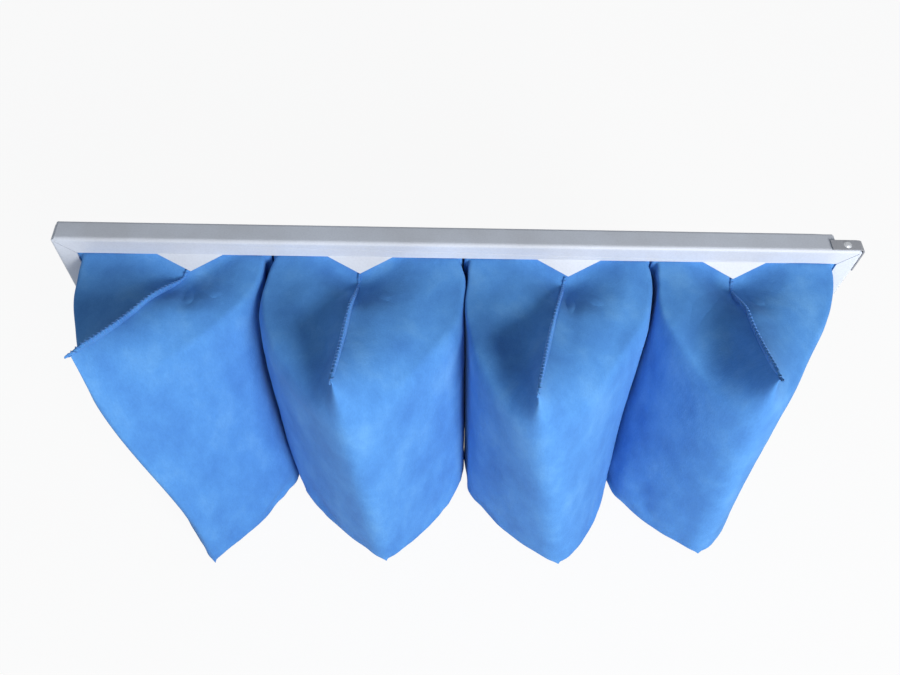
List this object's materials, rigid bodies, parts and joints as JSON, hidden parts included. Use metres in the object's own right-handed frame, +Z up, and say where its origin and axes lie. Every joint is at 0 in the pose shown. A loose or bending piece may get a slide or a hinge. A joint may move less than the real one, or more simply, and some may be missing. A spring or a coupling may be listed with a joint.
{
  "type": "bag air filter",
  "caption": "Air filter with a rectangular sheet-steel header frame and sewn fabric pockets side by side, open to the inlet side, for ventilation and cooling units.",
  "frame": {"origin": "centre of the underside of the header frame's bottom rail, halfway along its length and its depth", "axes": "+X along the header, +Y towards the inlet side, +Z up; the pockets point to -Y"},
  "size_m": [0.5942, 0.1592, 0.303],
  "materials": {
    "header_steel": "pale galvanised sheet, satin",
    "joint_steel": "dull dark zinc",
    "inner_steel": "galvanised sheet, matt",
    "blue_nonwoven": "soft needled nonwoven, matt"
  },
  "bodies": {
    "root": {"header_frame": "header_steel", "joint_plate": "joint_steel", "divider_rivet_1": "inner_steel", "divider_rivet_2": "inner_steel", "divider_rivet_3": "inner_steel", "divider_rivet_4": "inner_steel", "divider_rivet_5": "inner_steel", "divider_rivet_6": "inner_steel", "plate_rivet_top": "inner_steel", "plate_rivet_side": "inner_steel", "mouth_frame_1": "inner_steel", "pocket_1": "blue_nonwoven", "mouth_frame_2": "inner_steel", "pocket_2": "blue_nonwoven", "mouth_frame_3": "inner_steel", "pocket_3": "blue_nonwoven", "mouth_frame_4": "inner_steel", "pocket_4": "blue_nonwoven", "divider_1": "inner_steel", "divider_2": "inner_steel", "divider_3": "inner_steel"}
  },
  "joints": []
}
